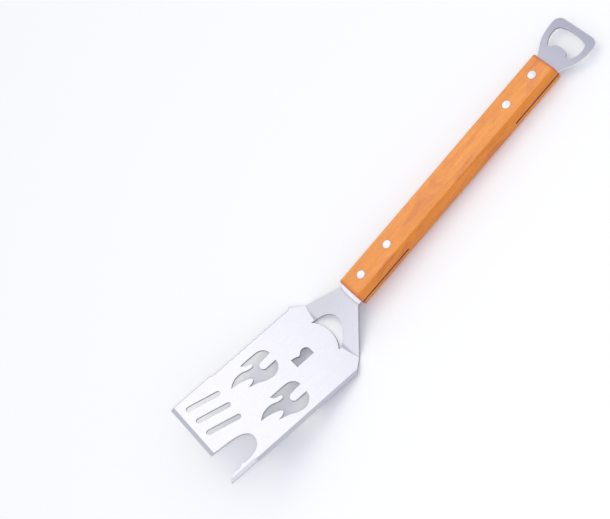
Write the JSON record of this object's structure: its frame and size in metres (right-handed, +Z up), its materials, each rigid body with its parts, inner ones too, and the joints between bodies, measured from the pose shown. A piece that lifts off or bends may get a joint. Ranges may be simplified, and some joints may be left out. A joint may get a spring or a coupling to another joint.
{
  "type": "grill spatula",
  "caption": "Barbecue turner with a bent slotted stainless blade, hooked and serrated edges, riveted wooden handle and a bottle opener at the butt.",
  "frame": {"origin": "centre of the bounding box's footprint, on the floor it rests on", "axes": "+X along the tool to the blade's front edge, +Y to the knife-edge side, +Z up as it lies at rest"},
  "size_m": [0.4606, 0.0936, 0.0417],
  "materials": {
    "blade_steel": "fine brushed along the blade, ground edges",
    "handle_wood": "orange-brown hardwood, clear satin lacquer",
    "opener_steel": "satin, brushed",
    "rivet_metal": "polished"
  },
  "bodies": {
    "root": {"turner_blade": "blade_steel", "wood_handle": "handle_wood", "bottle_opener": "opener_steel", "rivet_pin_1": "rivet_metal", "rivet_sleeve_1": "rivet_metal", "rivet_pin_2": "rivet_metal", "rivet_sleeve_2": "rivet_metal", "rivet_pin_3": "rivet_metal", "rivet_sleeve_3": "rivet_metal", "rivet_pin_4": "rivet_metal", "rivet_sleeve_4": "rivet_metal"}
  },
  "joints": []
}
